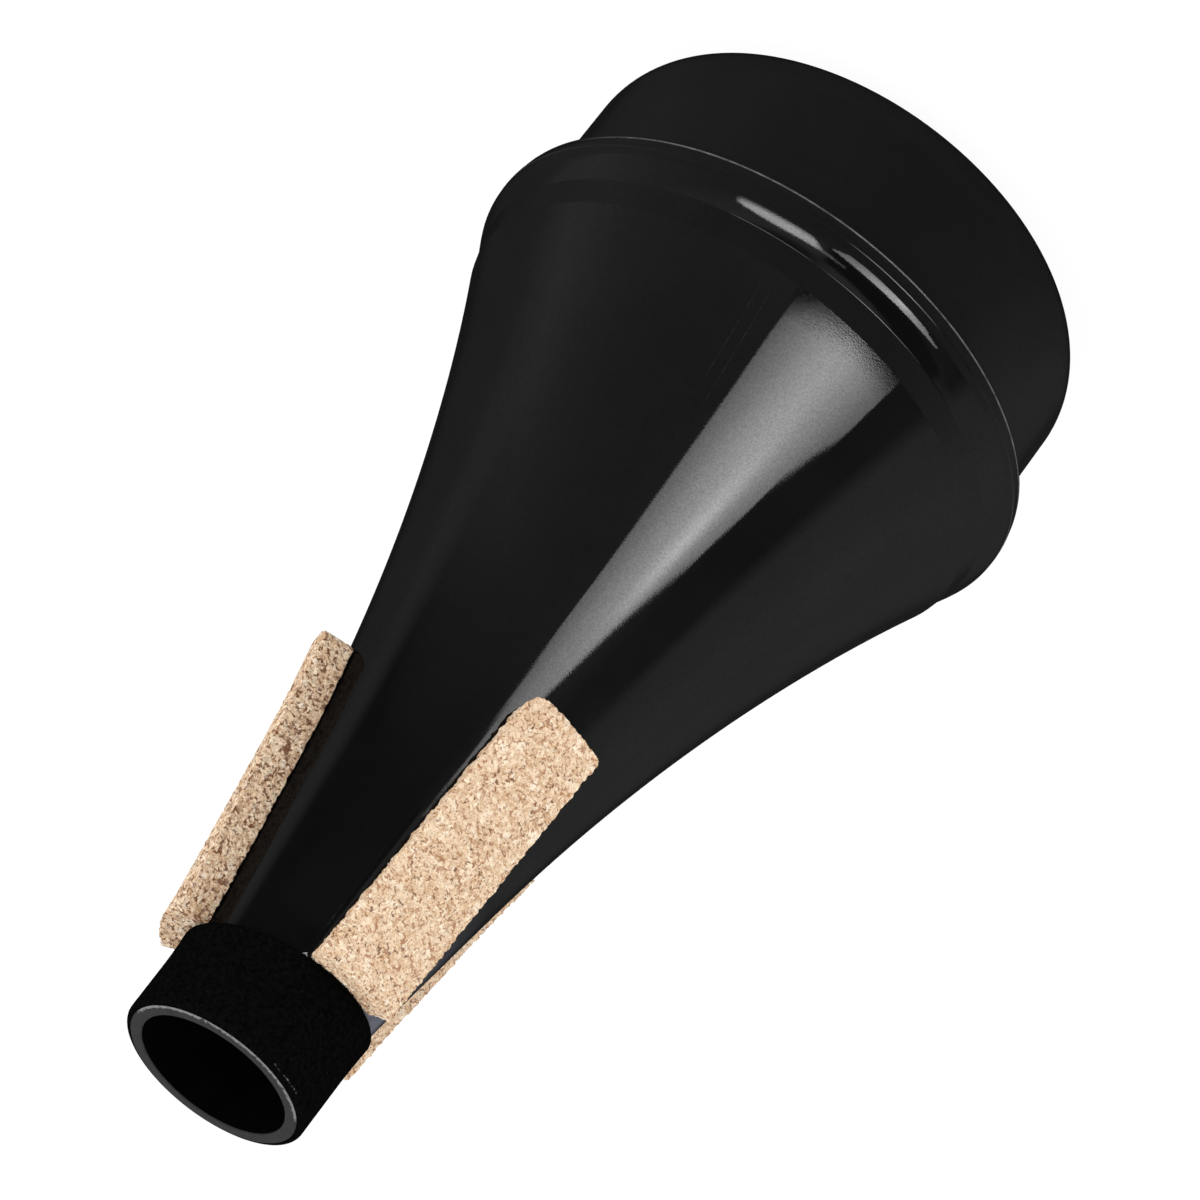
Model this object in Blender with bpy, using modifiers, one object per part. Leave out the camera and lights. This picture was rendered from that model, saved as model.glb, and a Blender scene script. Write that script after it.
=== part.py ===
"""Straight mute for a trumpet, standing on its closed end with the neck up.

A thin turned shell flares from an open neck to a rounded bead. A cup-shaped
end cap plugs into the shell and closes the wide end. A thin sleeve wraps the
neck, and three lengthwise cork strips are glued below it, to grip the
trumpet's bell.

Units are metres, +Z is up, and the origin is the centre of the rest face.
Azimuth is measured round the Z axis: 0 faces -Y, and 90 degrees faces -X.
"""

import math

import bmesh
import bpy
from mathutils import Matrix

MM = 0.001

# Turning
SEGMENTS = 60
MERGE = 0.01 * MM
FIT_GAP = 0.3 * MM

# Shell
TOTAL_HEIGHT = 178.4 * MM
WALL = 1.9 * MM
NECK_RADIUS = 13.9 * MM
NECK_TUBE = 9.2 * MM
FLARE_END = 131.6 * MM
SEAM_DEPTH = 145.15 * MM

# Runs of the shell's outer wall, from the neck to the seam in the bead: the depth below
# the neck opening where the run ends, its angle to the axis at its start and at its end
# in degrees, and its cells. A run whose angles differ is an arc.
WALL_RUNS = (
    (NECK_TUBE, 0.0, 0.0, 1),
    # arc out of the tube, and the taper that the corks sit on
    (22.5 * MM, 0.0, 7.95, 4),
    (45.7 * MM, 7.95, 7.95, 1),
    # long flare, tighter at its end
    (120.4 * MM, 7.95, 20.7, 9),
    (FLARE_END, 20.7, 24.0, 2),
    # short cone, and a flatter land up to the crease
    (133.4 * MM, 24.0, 24.0, 1),
    (139.95 * MM, 19.0, 19.0, 1),
    # upper half of the bead
    (143.3 * MM, 30.0, 19.0, 3),
    (SEAM_DEPTH, 19.0, 0.0, 3),
)

# Joint: the seam splits the bead, and the cap's spigot seats in the shell's socket
SEAM_HEIGHT = TOTAL_HEIGHT - SEAM_DEPTH
RIM_HEIGHT = 30.2 * MM
RIM_RADIUS = 45.85 * MM
SOCKET_RADIUS = 43.0 * MM
SOCKET_TOP = 39.0 * MM
SPIGOT_TOP = 38.0 * MM
SPIGOT_CHAMFER = 0.5 * MM

# End cap
CAP_RADIUS = 42.3 * MM
CAP_WALL = 2.0 * MM
CAP_ROUND = 10.6 * MM
REST_INNER_RADIUS = 26.0 * MM
RECESS_SLOPE = 1.2 * MM
RECESS_DEPTH = 0.8 * MM
RIM_FILLET = 0.8 * MM

# Faces that meet at more than this angle are shaded with a sharp edge
SHARP_ANGLE = math.radians(32.0)

# Neck sleeve: its lower edge was cut slightly askew
BAND_THICKNESS = 0.75 * MM
BAND_TRIM = 3.0 * MM
BAND_EDGE_HEIGHT = 161.85 * MM
BAND_ROUND = 0.6 * MM
BAND_TILT_X = 0.087
BAND_TILT_Y = -0.018

# Cork strips, cut and glued by hand: name, azimuth at the neck end and at the lower end
# in degrees, and the rounding of the two lower corners
CORKS = (
    ("cork_front", 27.3, 23.2, 2.2 * MM, 0.6 * MM),
    ("cork_left", -94.5, -94.5, 1.2 * MM, 1.2 * MM),
    ("cork_back", 149.0, 145.5, 1.2 * MM, 1.2 * MM),
)
CORK_WIDTH = 12.0 * MM
CORK_THICKNESS = 5.0 * MM
CORK_LOWER_END = 112.5 * MM
CORK_BEVEL = 0.5 * MM
CORK_EDGE_ANGLE = math.radians(50.0)
CORK_CELLS_ACROSS = 6
CORK_CELLS_ALONG = 20


def remove_scene_objects():
    for item in list(bpy.data.objects):
        bpy.data.objects.remove(item)


def new_collection(name):
    collection = bpy.data.collections.new(name)
    bpy.context.scene.collection.children.link(collection)
    return collection


def new_material(name, color, roughness, metallic=0.0):
    material = bpy.data.materials.new(name)
    material.use_nodes = True
    shader = material.node_tree.nodes["Principled BSDF"]
    shader.inputs["Base Color"].default_value = (*color, 1.0)
    shader.inputs["Roughness"].default_value = roughness
    shader.inputs["Metallic"].default_value = metallic
    return material


def add_object(name, mesh, collection, material):
    item = bpy.data.objects.new(name, mesh)
    mesh.materials.append(material)
    collection.objects.link(item)
    return item


def arc(center, radius, start, end, cells):
    """Points of an arc in the (r, z) plane, with both ends; angles in degrees."""
    points = []
    for i in range(cells + 1):
        angle = math.radians(start + (end - start) * i / cells)
        points.append((center[0] + radius * math.cos(angle),
                       center[1] + radius * math.sin(angle)))
    return points


def turned(name, outline, collection, material, closed):
    """A turned solid: the (r, z) outline goes up its inner side and down its outer side."""
    mesh = bpy.data.meshes.new(name)
    points = [(r, 0.0, z) for r, z in outline]
    edges = [(i, i + 1) for i in range(len(points) - 1)]
    if closed:
        edges.append((len(points) - 1, 0))
    mesh.from_pydata(points, edges, [])
    item = add_object(name, mesh, collection, material)
    screw = item.modifiers.new("Turn", "SCREW")
    screw.axis = "Z"
    screw.angle = 2.0 * math.pi
    screw.steps = SEGMENTS
    screw.render_steps = SEGMENTS
    screw.use_merge_vertices = True
    screw.merge_threshold = MERGE
    screw.use_smooth_shade = True
    return item


def wall(depth):
    """Radius of the shell's outer wall, and its angle, at a depth below the neck opening."""
    radius = NECK_RADIUS
    start = 0.0
    for end, start_degrees, end_degrees, _ in WALL_RUNS:
        angle = math.radians(start_degrees)
        turn = math.sin(math.radians(end_degrees)) - math.sin(angle)
        reach = min(depth, end) - start
        here = math.asin(math.sin(angle) + turn * reach / (end - start))
        if turn:
            radius += (end - start) / turn * (math.cos(angle) - math.cos(here))
        else:
            radius += reach * math.tan(angle)
        if depth <= end:
            break
        start = end
    return radius, here


def wall_radius(depth):
    return wall(depth)[0]


def inner_wall_radius(depth):
    radius, angle = wall(depth)
    return radius - WALL / math.cos(angle)


BEAD_RADIUS = wall_radius(SEAM_DEPTH)


def spaced(start, end, cells):
    return [start + (end - start) * i / cells for i in range(cells + 1)]


def shell_outline():
    outer_depths = [0.0]
    for end, _, _, cells in WALL_RUNS:
        outer_depths += spaced(outer_depths[-1], end, cells)[1:]
    outer = [(wall_radius(d), TOTAL_HEIGHT - d) for d in outer_depths]
    lip_height = SEAM_HEIGHT + FIT_GAP / 2.0
    outer[-1] = (BEAD_RADIUS, lip_height)

    inner_depths = [0.0]
    for end, _, _, cells in WALL_RUNS:
        if end <= FLARE_END:
            inner_depths += spaced(inner_depths[-1], end, math.ceil(cells / 2))[1:]
    inner = [(inner_wall_radius(d), TOTAL_HEIGHT - d) for d in reversed(inner_depths)]
    socket = [(SOCKET_RADIUS, lip_height), (SOCKET_RADIUS, SOCKET_TOP)]
    return outer + socket + inner


def cap_outline():
    inner_radius = CAP_RADIUS - CAP_WALL
    flange_top = SEAM_HEIGHT - FIT_GAP / 2.0
    spigot_radius = SOCKET_RADIUS - FIT_GAP
    round_center = (CAP_RADIUS - CAP_ROUND, CAP_ROUND)
    recess_top = RECESS_DEPTH + CAP_WALL
    recess_radius = REST_INNER_RADIUS - RECESS_SLOPE

    inside = [
        (0.0, recess_top),
        (recess_radius + CAP_WALL / 2.0, recess_top),
        (REST_INNER_RADIUS + CAP_WALL / 2.0, CAP_WALL),
    ]
    inside += arc(round_center, CAP_ROUND - CAP_WALL, -90.0, 0.0, 5)
    inside.append((inner_radius, SPIGOT_TOP))
    spigot = [
        (spigot_radius - SPIGOT_CHAMFER, SPIGOT_TOP),
        (spigot_radius, SPIGOT_TOP - SPIGOT_CHAMFER),
        (spigot_radius, flange_top),
    ]
    bead_run = flange_top - RIM_HEIGHT
    bead_drop = BEAD_RADIUS - RIM_RADIUS
    section = (bead_run ** 2 + bead_drop ** 2) / (2.0 * bead_drop)
    end = math.degrees(math.asin(bead_run / section))
    flange = arc((BEAD_RADIUS - section, flange_top), section, 0.0, -end, 3)
    fillet_center = (CAP_RADIUS + RIM_FILLET, RIM_HEIGHT - RIM_FILLET)
    outside = arc(fillet_center, RIM_FILLET, 90.0, 180.0, 2)
    outside += arc(round_center, CAP_ROUND, 0.0, -90.0, 7)
    outside += [
        (REST_INNER_RADIUS, 0.0),
        (recess_radius, RECESS_DEPTH),
        (0.0, RECESS_DEPTH),
    ]
    return inside + spigot + flange + outside


def band_outline():
    """The sleeve before its lower edge is cut askew: a little longer than it ends up."""
    top = FIT_GAP
    bottom = TOTAL_HEIGHT - BAND_EDGE_HEIGHT + BAND_TRIM
    depths = [top + BAND_ROUND, NECK_TUBE, 0.5 * (NECK_TUBE + bottom), bottom]
    outer = [(wall_radius(d) + FIT_GAP + BAND_THICKNESS, TOTAL_HEIGHT - d) for d in depths]
    inner = [(wall_radius(d) + FIT_GAP, TOTAL_HEIGHT - d) for d in reversed(depths[1:])]
    inner.append((wall_radius(top) + FIT_GAP, TOTAL_HEIGHT - top))
    corner = (outer[0][0] - BAND_ROUND, outer[0][1])
    rounding = arc(corner, BAND_ROUND, 90.0, 0.0, 3)
    return rounding[:-1] + outer + inner


def band_edge(x, y):
    """Height of the sleeve's lower edge at a place round the neck."""
    return BAND_EDGE_HEIGHT + BAND_TILT_X * x + BAND_TILT_Y * y


def cut_band_askew(band, cutters):
    """Trim the sleeve below a slightly tilted plane."""
    size = 4.0 * NECK_RADIUS
    mesh = bpy.data.meshes.new("band_trim")
    cube = bmesh.new()
    bmesh.ops.create_cube(cube, size=size)
    bmesh.ops.translate(cube, vec=(0.0, 0.0, -size / 2.0), verts=cube.verts)
    cube.to_mesh(mesh)
    cube.free()
    cutter = bpy.data.objects.new("band_trim", mesh)
    cutters.objects.link(cutter)
    roll = Matrix.Rotation(math.atan(BAND_TILT_Y), 4, "X")
    pitch = Matrix.Rotation(-math.atan(BAND_TILT_X), 4, "Y")
    cutter.matrix_world = Matrix.Translation((0.0, 0.0, BAND_EDGE_HEIGHT)) @ pitch @ roll
    cutter.hide_render = True
    cutter.display_type = "WIRE"
    trim = band.modifiers.new("Trim", "BOOLEAN")
    trim.operation = "DIFFERENCE"
    trim.solver = "EXACT"
    trim.object = cutter


def corner_inset(distance, rounding):
    """How far a rounded corner draws the long side in, at a distance from the short side."""
    if distance >= rounding:
        return 0.0
    return rounding - math.sqrt(rounding ** 2 - (rounding - distance) ** 2)


def cork_strip(name, neck_azimuth, lower_azimuth, left_round, right_round, collection, material):
    """A strip bent round the shell, thickened outwards, its top following the sleeve's edge."""
    grid = bmesh.new()
    bmesh.ops.create_grid(grid, x_segments=CORK_CELLS_ACROSS, y_segments=CORK_CELLS_ALONG,
                          size=0.5)
    for vertex in grid.verts:
        # rows crowd towards the lower end, where the corners are rounded
        along = (vertex.co.y + 0.5) ** 2
        side = 0.5 - vertex.co.x
        middle = math.radians(lower_azimuth + (neck_azimuth - lower_azimuth) * along)
        height = CORK_LOWER_END
        for _ in range(3):
            above = height - CORK_LOWER_END
            left = -CORK_WIDTH / 2.0 + corner_inset(above, left_round)
            right = CORK_WIDTH / 2.0 - corner_inset(above, right_round)
            radius = wall_radius(TOTAL_HEIGHT - height) + FIT_GAP
            azimuth = middle + (left + (right - left) * side) / radius
            x = -radius * math.sin(azimuth)
            y = -radius * math.cos(azimuth)
            top = band_edge(x, y) - FIT_GAP
            height = CORK_LOWER_END + (top - CORK_LOWER_END) * along
        vertex.co = (x, y, height)
    mesh = bpy.data.meshes.new(name)
    grid.to_mesh(mesh)
    grid.free()
    strip = add_object(name, mesh, collection, material)
    thicken = strip.modifiers.new("Thickness", "SOLIDIFY")
    thicken.thickness = CORK_THICKNESS
    thicken.offset = 1.0
    thicken.use_even_offset = True
    bevel = strip.modifiers.new("Worn edges", "BEVEL")
    bevel.width = CORK_BEVEL
    bevel.segments = 1
    bevel.limit_method = "ANGLE"
    bevel.angle_limit = CORK_EDGE_ANGLE
    return strip


def shade_smooth(collection):
    """Settle each part's modifiers into its mesh, smooth but for the sharp edges."""
    depsgraph = bpy.context.evaluated_depsgraph_get()
    for item in list(collection.objects):
        mesh = bpy.data.meshes.new_from_object(item.evaluated_get(depsgraph))
        mesh.name = item.name
        mesh.shade_smooth()
        mesh.set_sharp_from_angle(angle=SHARP_ANGLE)
        item.modifiers.clear()
        item.data = mesh


def build():
    remove_scene_objects()
    parts = new_collection("trumpet_mute")
    cutters = new_collection("cutters")
    gloss = new_material("gloss_black_plastic", (0.012, 0.012, 0.012), 0.15)
    cap_gloss = new_material("cap_black_plastic", (0.010, 0.010, 0.010), 0.2)
    matte = new_material("matte_black_sleeve", (0.003, 0.003, 0.003), 0.85)
    cork = new_material("agglomerated_cork", (0.60, 0.44, 0.29), 0.9)

    turned("body_shell", shell_outline(), parts, gloss, closed=True)
    turned("end_cap", cap_outline(), parts, cap_gloss, closed=False)
    band = turned("neck_band", band_outline(), parts, matte, closed=True)
    cut_band_askew(band, cutters)
    for name, neck_azimuth, lower_azimuth, left_round, right_round in CORKS:
        cork_strip(name, neck_azimuth, lower_azimuth, left_round, right_round, parts, cork)
    shade_smooth(parts)


build()
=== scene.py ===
import math

import bmesh
import bpy
from mathutils import Matrix, Vector, noise


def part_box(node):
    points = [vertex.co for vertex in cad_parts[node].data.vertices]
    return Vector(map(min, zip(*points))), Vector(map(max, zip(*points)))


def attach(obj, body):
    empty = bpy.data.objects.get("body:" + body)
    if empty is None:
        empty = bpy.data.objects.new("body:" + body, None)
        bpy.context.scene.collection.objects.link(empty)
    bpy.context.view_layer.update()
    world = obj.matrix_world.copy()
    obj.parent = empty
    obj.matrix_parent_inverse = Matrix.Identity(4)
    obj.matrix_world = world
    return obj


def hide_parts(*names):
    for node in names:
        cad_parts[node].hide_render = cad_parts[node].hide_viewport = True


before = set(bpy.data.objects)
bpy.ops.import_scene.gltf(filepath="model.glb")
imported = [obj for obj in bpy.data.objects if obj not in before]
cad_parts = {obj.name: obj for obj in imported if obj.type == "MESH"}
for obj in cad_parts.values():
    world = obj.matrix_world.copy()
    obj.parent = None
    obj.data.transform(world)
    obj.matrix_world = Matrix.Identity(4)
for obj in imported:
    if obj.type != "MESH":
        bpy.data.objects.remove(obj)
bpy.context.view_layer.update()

# Straight mute for a trumpet, standing on its closed end with the neck up.
# Units are metres. Azimuth goes round Z in degrees: 0 faces -Y, and 90 faces -X.
# Depth is measured down from the neck opening.

MM = 0.001

# Sizes that the frame gives
SHELL_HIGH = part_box("body_shell")[1]
TOTAL_HEIGHT = SHELL_HIGH.z
BEAD_RADIUS = SHELL_HIGH.x
SPIGOT_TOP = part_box("end_cap")[1].z
CORK_LOWER_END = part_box("cork_front")[0].z

# Shell
WALL = 1.9 * MM
NECK_RADIUS = 13.9 * MM
FLARE_END = 131.6 * MM
CONE_END = 136.0 * MM
SEAM_DEPTH = 145.15 * MM
SOCKET_RADIUS = 43.0 * MM

# Runs of the shell's outer wall, from the neck to the seam in the bead: the depth where
# the run ends, its angle to the axis at its start and at its end, and its cells
WALL_RUNS = (
    (9.2 * MM, 0.0, 0.0, 4),
    (22.5 * MM, 0.0, 7.95, 12),
    (45.7 * MM, 7.95, 7.95, 8),
    (120.4 * MM, 7.95, 20.7, 40),
    (FLARE_END, 20.7, 23.0, 8),
    # cone, then a flatter land up to the crease
    (CONE_END, 23.0, 23.9, 18),
    (139.8 * MM, 14.9, 14.9, 10),
    (140.05 * MM, 14.9, 28.1, 8),
    # upper half of the bead
    (142.75 * MM, 28.1, 24.9, 16),
    (143.62 * MM, 24.9, 21.9, 8),
    (SEAM_DEPTH, 21.9, -6.5, 16),
)
SEAM_HEIGHT = TOTAL_HEIGHT - SEAM_DEPTH
SEAM_GAP = 0.02 * MM

# Chamfer of the flange's lip at the seam: angles to the axis, and height
LIP_ANGLES = (23.5, 18.5)
LIP_HEIGHT = 0.22 * MM
LIP_CELLS = 5

# End cap
RIM_HEIGHT = 30.2 * MM
RIM_RADIUS = 45.85 * MM
RIM_ROUND = 0.4 * MM
# moulding flash round the flange, just above its rim
FLASH_HEIGHT = 30.9 * MM
FLASH_PROUD = 0.07 * MM
RIM_FILLET = 0.8 * MM
CAP_RADIUS = 42.3 * MM
CAP_WALL = 2.0 * MM
CAP_ROUND = 10.6 * MM
REST_INNER_RADIUS = 26.0 * MM
RECESS_SLOPE = 1.2 * MM
RECESS_DEPTH = 0.8 * MM
SPIGOT_CHAMFER = 0.5 * MM
EDGE_ROUND = 0.15 * MM

# Sleeve
BAND_GAP = 0.05 * MM
BAND_THICKNESS = 0.98 * MM
BAND_EDGE_HEIGHT = 161.85 * MM
BAND_ROUND = 0.75 * MM
BAND_TILT_X = 0.087
BAND_TILT_Y = -0.018

# Cork strips: name, azimuth at the neck end and at the lower end, rounding of the two
# lower corners, how bumpy the two long edges are, and how far up from a lower end that is
# cut square to the axis the strip still leans towards the wall
CORKS = (
    ("cork_front", 27.3, 23.2, (2.2 * MM, 0.4 * MM), (0.38 * MM, 0.14 * MM), 14.0 * MM),
    ("cork_left", -94.5, -94.5, (1.2 * MM, 1.2 * MM), (0.12 * MM, 0.12 * MM), 0.0),
    ("cork_back", 149.0, 145.5, (1.2 * MM, 1.2 * MM), (0.15 * MM, 0.15 * MM), 0.0),
)
CORK_WIDTH = 12.0 * MM
CORK_THICKNESS = 5.22 * MM
CORK_GAP = 0.08 * MM
CORK_COLUMNS = 20
CORK_ROWS = 150
CORK_VOXEL = 0.2 * MM
GRANULE = 0.75 * MM

TURN_STEPS = 192

# Camera, from the fit of the photograph
CAMERA_PLACE = (0.0, -0.801713, 0.546424)
CAMERA_RIGHT = (-0.794489, -0.307869, -0.523453)
CAMERA_UP = (0.607270, -0.398462, -0.687351)
CAMERA_LENS = 188.356
CAMERA_SENSOR = 36.0


def make_camera():
    data = bpy.data.cameras.new("camera")
    data.sensor_width = CAMERA_SENSOR
    data.lens = CAMERA_LENS
    data.clip_start = 0.05
    data.clip_end = 50.0
    camera = bpy.data.objects.new("camera", data)
    bpy.context.scene.collection.objects.link(camera)
    right = Vector(CAMERA_RIGHT).normalized()
    up = Vector(CAMERA_UP).normalized()
    back = right.cross(up).normalized()
    turn = Matrix((right, up, back)).transposed()
    camera.matrix_world = Matrix.Translation(CAMERA_PLACE) @ turn.to_4x4()
    bpy.context.scene.camera = camera


class Shading:
    """A node tree of a material or of the world, with the usual steps as short calls."""

    def __init__(self, owner, shader):
        owner.use_nodes = True
        self.owner = owner
        self.nodes = owner.node_tree.nodes
        self.links = owner.node_tree.links
        self.shader = self.nodes[shader]

    def feed(self, socket, value):
        """Sets an input to a constant, or links it to another node's output."""
        if isinstance(value, bpy.types.NodeSocket):
            self.links.new(value, socket)
        elif socket.type == "RGBA":
            socket.default_value = (*value, 1.0)
        else:
            socket.default_value = value

    def add(self, kind, settings, **inputs):
        node = self.nodes.new(kind)
        for key, value in settings.items():
            setattr(node, key, value)
        for key, value in inputs.items():
            self.feed(node.inputs[key.replace("_", " ")], value)
        return node

    def set(self, **inputs):
        for key, value in inputs.items():
            self.feed(self.shader.inputs[key.replace("_", " ")], value)

    def place(self):
        return self.add("ShaderNodeTexCoord", {}).outputs["Object"]

    def math(self, operation, first, second=0.0):
        node = self.add("ShaderNodeMath", {"operation": operation})
        self.feed(node.inputs[0], first)
        self.feed(node.inputs[1], second)
        return node.outputs[0]

    def noise(self, place, scale, detail=4.0, rough=0.5):
        node = self.add("ShaderNodeTexNoise", {}, Vector=place, Scale=scale,
                        Detail=detail, Roughness=rough)
        return node.outputs["Fac"]

    def remap(self, value, low, high, to_low=0.0, to_high=1.0):
        node = self.add("ShaderNodeMapRange", {}, Value=value, From_Min=low, From_Max=high,
                        To_Min=to_low, To_Max=to_high)
        return node.outputs["Result"]

    def ramp(self, value, stops):
        """Colour ramp whose stops are (position, grey or colour)."""
        node = self.add("ShaderNodeValToRGB", {}, Fac=value)
        elements = node.color_ramp.elements
        while len(elements) < len(stops):
            elements.new(0.5)
        for element, (position, color) in zip(elements, stops):
            if not isinstance(color, tuple):
                color = (color, color, color)
            element.position = position
            element.color = (*color, 1.0)
        return node.outputs["Color"]

    def scaled_ramp(self, value, stops, top):
        """A grey curve through stops of (value, level), with levels up to top."""
        low = stops[0][0]
        span = stops[-1][0] - low
        share = self.remap(value, low, low + span)
        curve = self.ramp(share, [((at - low) / span, level / top) for at, level in stops])
        return self.math("MULTIPLY", curve, top)

    def mix(self, share, first, second):
        node = self.add("ShaderNodeMix", {"data_type": "RGBA"})
        self.feed(node.inputs["Factor"], share)
        self.feed(node.inputs["A"], first)
        self.feed(node.inputs["B"], second)
        return node.outputs["Result"]

    def bump(self, height, strength, distance, under=None):
        node = self.add("ShaderNodeBump", {}, Height=height, Strength=strength,
                        Distance=distance)
        if under is not None:
            self.feed(node.inputs["Normal"], under)
        return node.outputs["Normal"]

    def axes(self, place):
        return self.add("ShaderNodeSeparateXYZ", {}, Vector=place).outputs

    def azimuth(self, axes):
        """Azimuth in degrees of a place or a direction."""
        turn = self.math("ARCTAN2", self.math("MULTIPLY", axes["X"], -1.0),
                         self.math("MULTIPLY", axes["Y"], -1.0))
        return self.math("MULTIPLY", turn, math.degrees(1.0))

    def window(self, value, low, high, blur):
        """One between low and high, and nought outside, with blurred ends."""
        rise = self.remap(value, low - blur, low + blur)
        fall = self.remap(value, high - blur, high + blur, 1.0, 0.0)
        return self.math("MULTIPLY", rise, fall)


def new_material(name):
    return Shading(bpy.data.materials.new(name), "Principled BSDF")


# How strong the gloss is, by Layer Weight's Facing: plastic moulded in a worn mould,
# whose skin loses its shine at a flat angle
GLOSS_FALL = ((0.0, 0.30), (0.35, 0.27), (0.5, 0.16), (0.66, 0.085), (0.83, 0.020), (1.0, 0.006))


def gloss_material(name, color, coat_roughness, lines_and_painted_reflection=False):
    """Moulded black plastic: faint flow waves, haze, and dust-fine pitting."""
    m = new_material(name)
    place = m.place()
    haze = m.noise(place, 60.0, 5.0, 0.6)
    base = m.ramp(haze, [(0.35, tuple(c * 0.8 for c in color)), (0.65, tuple(c * 1.25 for c in color))])
    # parting lines, and a painted reflection beside the front strip
    if lines_and_painted_reflection:
        base = marked(m, place, base)
    facing = m.add("ShaderNodeLayerWeight", {}).outputs["Facing"]
    waves = m.noise(place, 45.0, 2.0, 0.4)
    grain = m.noise(place, 5200.0, 1.0, 0.4)
    normal = m.bump(waves, 0.04, 0.25 * MM)
    normal = m.bump(grain, 0.10, 0.012 * MM, normal)
    pitting = m.remap(m.noise(place, 3600.0, 2.0, 0.6), 0.3, 0.7, 0.80, 1.20)
    m.set(Base_Color=base, Roughness=0.5, Specular_IOR_Level=0.0,
          Coat_Weight=m.math("MULTIPLY", m.ramp(facing, GLOSS_FALL), pitting),
          Coat_Roughness=coat_roughness, Normal=normal, Coat_Normal=normal)
    return m.owner


# Faint parting lines on the cone: azimuth at two depths
PARTING_LINES = ((-7.3, -8.8), (-4.3, -6.3))
PARTING_DEPTHS = (115.0 * MM, 132.0 * MM)
# Painted reflection beside the front strip: a bluish-grey patch standing in for the pale surroundings seen
# in the wall at a flat angle. Its azimuths, and its strength by depth in mm
REFLECTION_PATCH_AZIMUTHS = (46.0, 84.0)
REFLECTION_PATCH_FALL = ((10.0, 0.0), (14.0, 1.0), (21.0, 0.95), (27.0, 0.55), (34.0, 0.25), (44.0, 0.0))


def marked(m, place, base):
    """Adds the faint parting lines, and a painted bluish-grey reflection beside the front strip."""
    axes = m.axes(place)
    azimuth = m.azimuth(axes)
    depth = m.math("SUBTRACT", TOTAL_HEIGHT, axes["Z"])
    broken = m.remap(m.noise(place, 1400.0, 2.0), 0.45, 0.6, 0.15, 1.0)
    reach = m.window(depth, *PARTING_DEPTHS, 2.0 * MM)
    for azimuths in PARTING_LINES:
        slope = (azimuths[1] - azimuths[0]) / (PARTING_DEPTHS[1] - PARTING_DEPTHS[0])
        line = m.math("MULTIPLY_ADD", depth, slope)
        line.node.inputs[2].default_value = azimuths[0] - slope * PARTING_DEPTHS[0]
        away = m.math("ABSOLUTE", m.math("SUBTRACT", azimuth, line))
        share = m.math("MULTIPLY", m.remap(away, 0.0, 0.14, 1.0, 0.0), broken)
        base = m.mix(m.math("MULTIPLY", share, reach), base, (0.014, 0.014, 0.014))
    # painted reflection: a bluish-grey patch beside the front strip that fades with depth
    painted_reflection = m.math("MULTIPLY", m.window(azimuth, *REFLECTION_PATCH_AZIMUTHS, 8.0),
                  m.scaled_ramp(m.math("DIVIDE", depth, MM), REFLECTION_PATCH_FALL, 1.0))
    painted_reflection = m.math("MULTIPLY", painted_reflection, m.remap(m.noise(place, 350.0, 3.0), 0.3, 0.6, 0.65, 1.0))
    return m.mix(painted_reflection, base, (0.095, 0.102, 0.125))


def edge_material():
    """The moulding's small outer edges, polished by handling."""
    m = new_material("gloss_edge")
    grain = m.noise(m.place(), 1500.0, 3.0)
    normal = m.bump(grain, 0.08, 0.02 * MM)
    m.set(Base_Color=m.ramp(grain, [(0.35, 0.0024), (0.65, 0.0036)]), Roughness=0.5,
          Specular_IOR_Level=0.0, Coat_Weight=0.28, Coat_Roughness=0.05,
          Normal=normal, Coat_Normal=normal)
    return m.owner


# Painted highlight along the rim's flash: the part, by azimuth and by height, that is painted grey
FLASH_HIGHLIGHT_AZIMUTHS = (-50.0, 64.0)
FLASH_HIGHLIGHT_HEIGHTS = (30.80 * MM, 31.08 * MM)


def flash_highlight_material():
    """The flange's flash, painted grey over part of its round as a highlight."""
    m = new_material("flash_painted_highlight")
    place = m.place()
    highlight_grey = m.ramp(m.noise(place, 700.0, 4.0, 0.6), [(0.3, 0.05), (0.7, 0.15)])
    axes = m.axes(place)
    # painted highlight: grey only where these azimuths and heights meet
    share = m.math("MULTIPLY", m.window(m.azimuth(axes), *FLASH_HIGHLIGHT_AZIMUTHS, 14.0),
                   m.window(axes["Z"], *FLASH_HIGHLIGHT_HEIGHTS, 0.11 * MM))
    m.set(Base_Color=m.mix(share, (0.003, 0.003, 0.003), highlight_grey), Roughness=0.5,
          Specular_IOR_Level=0.0, Coat_Weight=0.15, Coat_Roughness=0.12)
    return m.owner


# Burr on the sawn end's outer edge: its azimuths, how ragged it is, and the radii, with the
# raggedness added, where it starts and is full
BURR_AZIMUTHS = (-82.0, 70.0)
BURR_REACH = 1.6 * MM
BURR_RADII = (14.32 * MM, 14.50 * MM)


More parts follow.
